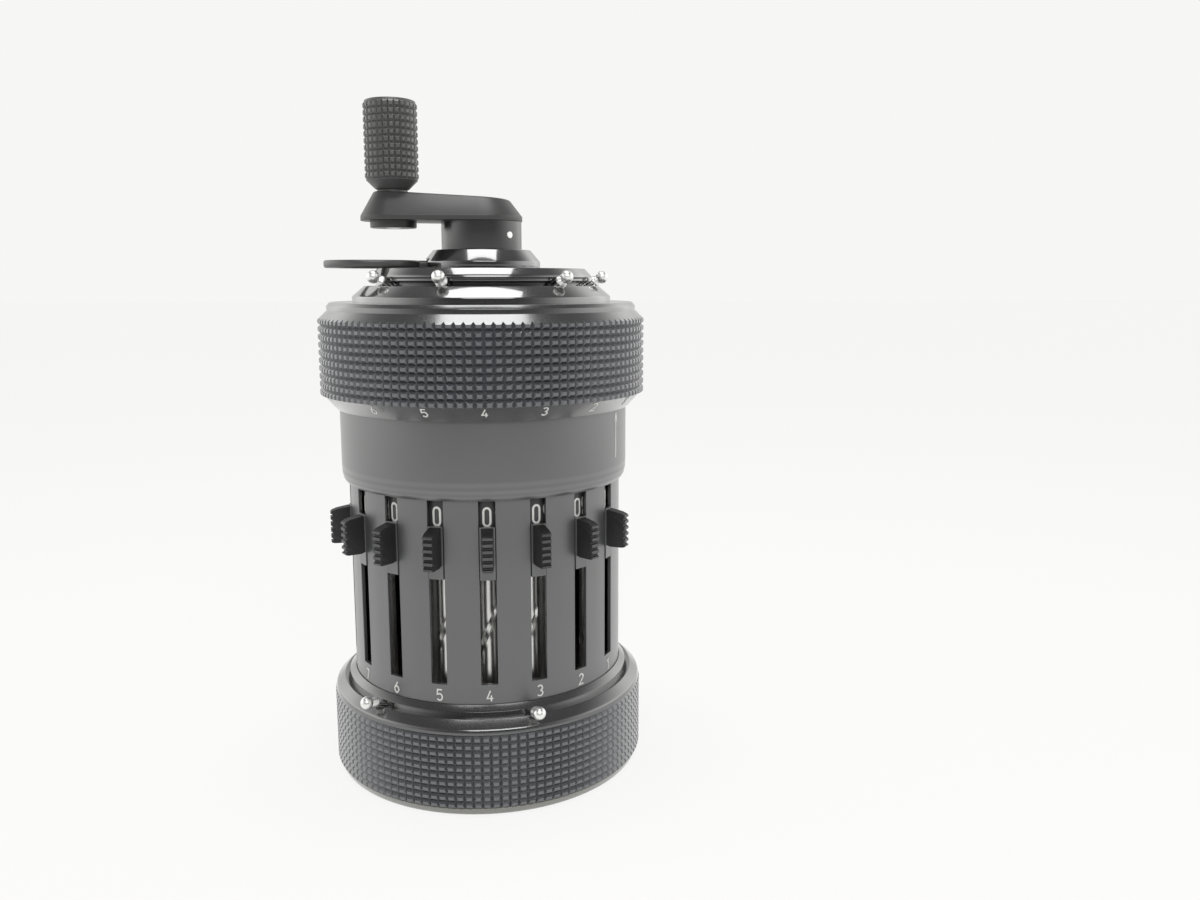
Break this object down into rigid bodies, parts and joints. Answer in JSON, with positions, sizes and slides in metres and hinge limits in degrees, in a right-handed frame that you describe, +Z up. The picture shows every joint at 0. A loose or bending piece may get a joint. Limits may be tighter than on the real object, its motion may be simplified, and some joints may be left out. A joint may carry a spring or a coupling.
{
  "type": "mechanical calculator",
  "caption": "Cylindrical hand-cranked mechanical calculator: slotted sleeve with setting sliders, knurled turning carriage with digit windows, crank with knob, clearing lever.",
  "frame": {"origin": "centre of the base ring's underside, on the table", "axes": "+Z up along the crank axis, -Y to the front with the setting slots, -X to the crank knob"},
  "size_m": [0.053, 0.053, 0.1089],
  "materials": {
    "satin_black": "satin black coat",
    "gloss_black": "glossy black coat",
    "matt_black": "matt black coat",
    "light_alloy": "machined",
    "bright_steel": "polished",
    "dial_alloy": "black with white digits"
  },
  "bodies": {
    "housing": {"base_ring": "satin_black", "bottom_plate": "satin_black", "slotted_sleeve": "satin_black", "upper_collar": "satin_black", "bearing_frame": "light_alloy", "upper_bearing_plate": "light_alloy", "transmission_shafts": "bright_steel", "carriage_spring": "bright_steel"},
    "reversing_lever": {"reversing_lever": "matt_black"},
    "crank_lifter": {"thrust_collar": "light_alloy"},
    "crank": {"main_shaft": "bright_steel", "step_drum": "bright_steel", "crank_arm": "satin_black", "crank_pin": "bright_steel", "knob_axle": "bright_steel"},
    "knob": {"crank_knob": "matt_black"},
    "carriage_lifter": {"carriage_sleeve": "light_alloy"},
    "carriage": {"carriage_ring": "satin_black", "carriage_cover": "gloss_black"},
    "clearing_disc": {"clearing_disc": "gloss_black"},
    "clearing_lever": {"clearing_lever": "gloss_black"},
    "slider_1": {"setting_slider_1": "matt_black"},
    "digit_1": {"digit_shaft_1": "bright_steel"},
    "slider_2": {"setting_slider_2": "matt_black"},
    "digit_2": {"digit_shaft_2": "bright_steel"},
    "slider_3": {"setting_slider_3": "matt_black"},
    "digit_3": {"digit_shaft_3": "bright_steel"},
    "slider_4": {"setting_slider_4": "matt_black"},
    "digit_4": {"digit_shaft_4": "bright_steel"},
    "slider_5": {"setting_slider_5": "matt_black"},
    "digit_5": {"digit_shaft_5": "bright_steel"},
    "slider_6": {"setting_slider_6": "matt_black"},
    "digit_6": {"digit_shaft_6": "bright_steel"},
    "slider_7": {"setting_slider_7": "matt_black"},
    "digit_7": {"digit_shaft_7": "bright_steel"},
    "slider_8": {"setting_slider_8": "matt_black"},
    "digit_8": {"digit_shaft_8": "bright_steel"},
    "lower_marker_1": {"lower_marker_1": "bright_steel"},
    "lower_marker_2": {"lower_marker_2": "bright_steel"},
    "upper_marker_1": {"upper_marker_1": "bright_steel"},
    "upper_marker_2": {"upper_marker_2": "bright_steel"},
    "upper_marker_3": {"upper_marker_3": "bright_steel"},
    "upper_marker_4": {"upper_marker_4": "bright_steel"},
    "result_dial_1": {"result_dial_1": "dial_alloy"},
    "result_dial_2": {"result_dial_2": "dial_alloy"},
    "result_dial_3": {"result_dial_3": "dial_alloy"},
    "result_dial_4": {"result_dial_4": "dial_alloy"},
    "result_dial_5": {"result_dial_5": "dial_alloy"},
    "result_dial_6": {"result_dial_6": "dial_alloy"},
    "result_dial_7": {"result_dial_7": "dial_alloy"},
    "result_dial_8": {"result_dial_8": "dial_alloy"},
    "result_dial_9": {"result_dial_9": "dial_alloy"},
    "result_dial_10": {"result_dial_10": "dial_alloy"},
    "result_dial_11": {"result_dial_11": "dial_alloy"},
    "counter_dial_1": {"counter_dial_1": "dial_alloy"},
    "counter_dial_2": {"counter_dial_2": "dial_alloy"},
    "counter_dial_3": {"counter_dial_3": "dial_alloy"},
    "counter_dial_4": {"counter_dial_4": "dial_alloy"},
    "counter_dial_5": {"counter_dial_5": "dial_alloy"},
    "counter_dial_6": {"counter_dial_6": "dial_alloy"}
  },
  "joints": [
    {"name": "reversing_slide", "type": "slide", "parent": "housing", "child": "reversing_lever", "axis": [0, 0, 1], "range_m": [0, 0.005]},
    {"name": "crank_lift", "type": "slide", "parent": "housing", "child": "crank_lifter", "axis": [0, 0, 1], "range_m": [0, 0.003]},
    {"name": "crank_turn", "type": "hinge", "parent": "crank_lifter", "child": "crank", "pos_m": [0, 0, 0.0881], "axis": [0, 0, 1], "continuous": true},
    {"name": "knob_spin", "type": "hinge", "parent": "crank", "child": "knob", "pos_m": [-0.0141, 0, 0.1], "axis": [0, 0, 1], "continuous": true},
    {"name": "carriage_lift", "type": "slide", "parent": "housing", "child": "carriage_lifter", "axis": [0, 0, 1], "range_m": [0, 0.004], "stiffness_N_per_m": 500, "springref_m": -0.006, "deforming": ["carriage_spring"]},
    {"name": "carriage_turn", "type": "hinge", "parent": "carriage_lifter", "child": "carriage", "pos_m": [0, 0, 0.0757], "axis": [0, 0, 1], "range_deg": [0, 100]},
    {"name": "clearing_turn", "type": "hinge", "parent": "carriage", "child": "clearing_disc", "pos_m": [0, 0, 0.0826], "axis": [0, 0, -1], "range_deg": [0, 360]},
    {"name": "lever_fold", "type": "hinge", "parent": "clearing_disc", "child": "clearing_lever", "pos_m": [-0.0087, 0, 0.0833], "axis": [0, 0, -1], "range_deg": [0, 60]},
    {"name": "slider_1_set", "type": "slide", "parent": "housing", "child": "slider_1", "axis": [0, 0, -1], "range_m": [0, 0.01575]},
    {"name": "digit_1_turn", "type": "hinge", "parent": "housing", "child": "digit_1", "pos_m": [0.01615, -0.00932, 0.033], "axis": [0, 0, 1], "range_deg": [0, 324.1]},
    {"name": "slider_2_set", "type": "slide", "parent": "housing", "child": "slider_2", "axis": [0, 0, -1], "range_m": [0, 0.01575]},
    {"name": "digit_2_turn", "type": "hinge", "parent": "housing", "child": "digit_2", "pos_m": [0.01199, -0.01429, 0.033], "axis": [0, 0, 1], "range_deg": [0, 324.1]},
    {"name": "slider_3_set", "type": "slide", "parent": "housing", "child": "slider_3", "axis": [0, 0, -1], "range_m": [0, 0.01575]},
    {"name": "digit_3_turn", "type": "hinge", "parent": "housing", "child": "digit_3", "pos_m": [0.00638, -0.01753, 0.033], "axis": [0, 0, 1], "range_deg": [0, 324.1]},
    {"name": "slider_4_set", "type": "slide", "parent": "housing", "child": "slider_4", "axis": [0, 0, -1], "range_m": [0, 0.01575]},
    {"name": "digit_4_turn", "type": "hinge", "parent": "housing", "child": "digit_4", "pos_m": [0, -0.01865, 0.033], "axis": [0, 0, 1], "range_deg": [0, 324.1]},
    {"name": "slider_5_set", "type": "slide", "parent": "housing", "child": "slider_5", "axis": [0, 0, -1], "range_m": [0, 0.01575]},
    {"name": "digit_5_turn", "type": "hinge", "parent": "housing", "child": "digit_5", "pos_m": [-0.00638, -0.01753, 0.033], "axis": [0, 0, 1], "range_deg": [0, 324.1]},
    {"name": "slider_6_set", "type": "slide", "parent": "housing", "child": "slider_6", "axis": [0, 0, -1], "range_m": [0, 0.01575]},
    {"name": "digit_6_turn", "type": "hinge", "parent": "housing", "child": "digit_6", "pos_m": [-0.01199, -0.01429, 0.033], "axis": [0, 0, 1], "range_deg": [0, 324.1]},
    {"name": "slider_7_set", "type": "slide", "parent": "housing", "child": "slider_7", "axis": [0, 0, -1], "range_m": [0, 0.01575]},
    {"name": "digit_7_turn", "type": "hinge", "parent": "housing", "child": "digit_7", "pos_m": [-0.01615, -0.00932, 0.033], "axis": [0, 0, 1], "range_deg": [0, 324.1]},
    {"name": "slider_8_set", "type": "slide", "parent": "housing", "child": "slider_8", "axis": [0, 0, -1], "range_m": [0, 0.01575]},
    {"name": "digit_8_turn", "type": "hinge", "parent": "housing", "child": "digit_8", "pos_m": [-0.01837, -0.00324, 0.033], "axis": [0, 0, 1], "range_deg": [0, 324.1]},
    {"name": "lower_marker_1_move", "type": "hinge", "parent": "housing", "child": "lower_marker_1", "pos_m": [0, 0, 0.0155], "axis": [0, 0, 1], "range_deg": [-15, 15]},
    {"name": "lower_marker_2_move", "type": "hinge", "parent": "housing", "child": "lower_marker_2", "pos_m": [0, 0, 0.0155], "axis": [0, 0, 1], "range_deg": [-15, 15]},
    {"name": "upper_marker_1_move", "type": "hinge", "parent": "carriage", "child": "upper_marker_1", "pos_m": [0, 0, 0.0795], "axis": [0, 0, 1], "range_deg": [-15, 15]},
    {"name": "upper_marker_2_move", "type": "hinge", "parent": "carriage", "child": "upper_marker_2", "pos_m": [0, 0, 0.0795], "axis": [0, 0, 1], "range_deg": [-15, 15]},
    {"name": "upper_marker_3_move", "type": "hinge", "parent": "carriage", "child": "upper_marker_3", "pos_m": [0, 0, 0.0795], "axis": [0, 0, 1], "range_deg": [-15, 15]},
    {"name": "upper_marker_4_move", "type": "hinge", "parent": "carriage", "child": "upper_marker_4", "pos_m": [0, 0, 0.0795], "axis": [0, 0, 1], "range_deg": [-15, 15]},
    {"name": "result_dial_1_turn", "type": "hinge", "parent": "carriage", "child": "result_dial_1", "pos_m": [0.0123, -0.0071, 0.0791], "axis": [0.866, -0.5, 0], "continuous": true},
    {"name": "result_dial_2_turn", "type": "hinge", "parent": "carriage", "child": "result_dial_2", "pos_m": [0.00913, -0.01088, 0.0791], "axis": [0.6428, -0.766, 0], "continuous": true},
    {"name": "result_dial_3_turn", "type": "hinge", "parent": "carriage", "child": "result_dial_3", "pos_m": [0.00486, -0.01334, 0.0791], "axis": [0.342, -0.9397, 0], "continuous": true},
    {"name": "result_dial_4_turn", "type": "hinge", "parent": "carriage", "child": "result_dial_4", "pos_m": [0, -0.0142, 0.0791], "axis": [0, -1, 0], "continuous": true},
    {"name": "result_dial_5_turn", "type": "hinge", "parent": "carriage", "child": "result_dial_5", "pos_m": [-0.00486, -0.01334, 0.0791], "axis": [-0.342, -0.9397, 0], "continuous": true},
    {"name": "result_dial_6_turn", "type": "hinge", "parent": "carriage", "child": "result_dial_6", "pos_m": [-0.00913, -0.01088, 0.0791], "axis": [-0.6428, -0.766, 0], "continuous": true},
    {"name": "result_dial_7_turn", "type": "hinge", "parent": "carriage", "child": "result_dial_7", "pos_m": [-0.0123, -0.0071, 0.0791], "axis": [-0.866, -0.5, 0], "continuous": true},
    {"name": "result_dial_8_turn", "type": "hinge", "parent": "carriage", "child": "result_dial_8", "pos_m": [-0.01398, -0.00247, 0.0791], "axis": [-0.9848, -0.1736, 0], "continuous": true},
    {"name": "result_dial_9_turn", "type": "hinge", "parent": "carriage", "child": "result_dial_9", "pos_m": [-0.01398, 0.00247, 0.0791], "axis": [-0.9848, 0.1736, 0], "continuous": true},
    {"name": "result_dial_10_turn", "type": "hinge", "parent": "carriage", "child": "result_dial_10", "pos_m": [-0.0123, 0.0071, 0.0791], "axis": [-0.866, 0.5, 0], "continuous": true},
    {"name": "result_dial_11_turn", "type": "hinge", "parent": "carriage", "child": "result_dial_11", "pos_m": [-0.00913, 0.01088, 0.0791], "axis": [-0.6428, 0.766, 0], "continuous": true},
    {"name": "counter_dial_1_turn", "type": "hinge", "parent": "carriage", "child": "counter_dial_1", "pos_m": [0, 0.0142, 0.0791], "axis": [0, 1, 0], "continuous": true},
    {"name": "counter_dial_2_turn", "type": "hinge", "parent": "carriage", "child": "counter_dial_2", "pos_m": [0.00486, 0.01334, 0.0791], "axis": [0.342, 0.9397, 0], "continuous": true},
    {"name": "counter_dial_3_turn", "type": "hinge", "parent": "carriage", "child": "counter_dial_3", "pos_m": [0.00913, 0.01088, 0.0791], "axis": [0.6428, 0.766, 0], "continuous": true},
    {"name": "counter_dial_4_turn", "type": "hinge", "parent": "carriage", "child": "counter_dial_4", "pos_m": [0.0123, 0.0071, 0.0791], "axis": [0.866, 0.5, 0], "continuous": true},
    {"name": "counter_dial_5_turn", "type": "hinge", "parent": "carriage", "child": "counter_dial_5", "pos_m": [0.01398, 0.00247, 0.0791], "axis": [0.9848, 0.1736, 0], "continuous": true},
    {"name": "counter_dial_6_turn", "type": "hinge", "parent": "carriage", "child": "counter_dial_6", "pos_m": [0.01398, -0.00247, 0.0791], "axis": [0.9848, -0.1736, 0], "continuous": true}
  ],
  "couplings": [
    {"joint": "digit_1_turn", "follows": "slider_1_set", "rad_per_m": 359.04},
    {"joint": "digit_2_turn", "follows": "slider_2_set", "rad_per_m": 359.04},
    {"joint": "digit_3_turn", "follows": "slider_3_set", "rad_per_m": 359.04},
    {"joint": "digit_4_turn", "follows": "slider_4_set", "rad_per_m": 359.04},
    {"joint": "digit_5_turn", "follows": "slider_5_set", "rad_per_m": 359.04},
    {"joint": "digit_6_turn", "follows": "slider_6_set", "rad_per_m": 359.04},
    {"joint": "digit_7_turn", "follows": "slider_7_set", "rad_per_m": 359.04},
    {"joint": "digit_8_turn", "follows": "slider_8_set", "rad_per_m": 359.04}
  ]
}
